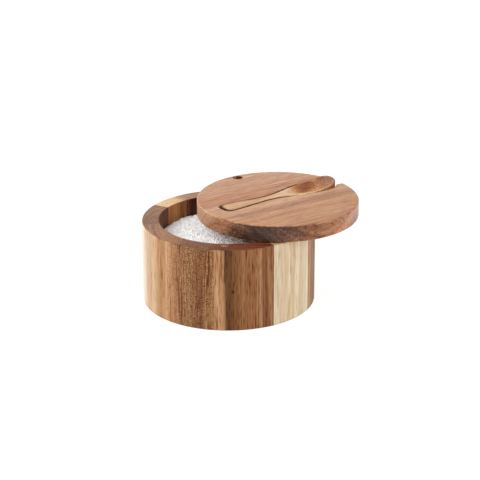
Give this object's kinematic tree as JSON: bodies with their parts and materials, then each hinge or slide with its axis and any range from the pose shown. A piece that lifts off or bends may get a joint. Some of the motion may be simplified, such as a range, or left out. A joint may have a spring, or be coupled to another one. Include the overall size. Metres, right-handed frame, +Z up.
{
  "type": "salt box with swivel lid",
  "caption": "Round wooden salt box of glued staves, with a swivel lid on a screw pivot, a magnet catch and a spoon that lies in a pocket in the lid.",
  "frame": {"origin": "centre of the box's underside, on the axis of the ring of staves", "axes": "+Z up, +Y from the box's axis towards the pivot screw, +X to the right as seen from the magnet's side. The lid is at rest swung 40 degrees open, anticlockwise from above."},
  "size_m": [0.1419, 0.122, 0.0711],
  "materials": {
    "acacia_brown_streaked": "satin",
    "acacia_sapwood": "satin",
    "acacia_brown": "satin",
    "acacia_tan": "satin",
    "acacia_sapwood_edge": "satin",
    "acacia_lid": "satin",
    "acacia_spoon": "satin",
    "coarse_salt": "matte",
    "screw_steel": "satin",
    "washer_steel": "satin",
    "magnet_nickel": "satin"
  },
  "bodies": {
    "box": {"stave_01": "acacia_brown_streaked", "stave_02": "acacia_sapwood", "stave_03": "acacia_brown", "stave_04": "acacia_brown_streaked", "stave_05": "acacia_tan", "stave_06": "acacia_brown", "stave_07": "acacia_tan", "stave_08": "acacia_sapwood_edge", "stave_09": "acacia_tan", "stave_10": "acacia_brown", "base_disc": "acacia_brown", "salt": "coarse_salt", "pivot_screw": "screw_steel", "pivot_washer": "washer_steel", "box_magnet": "magnet_nickel"},
    "lid": {"lid": "acacia_lid", "lid_magnet": "magnet_nickel"},
    "spoon": {"spoon": "acacia_spoon"}
  },
  "joints": [
    {"name": "lid_swivel", "type": "hinge", "parent": "box", "child": "lid", "pos_m": [0, 0.0488, 0.05605], "axis": [0, 0, 1], "range_deg": [-40, 140]},
    {"name": "spoon_lift", "type": "slide", "parent": "lid", "child": "spoon", "axis": [0, 0, 1], "range_m": [0, 0.03]}
  ]
}
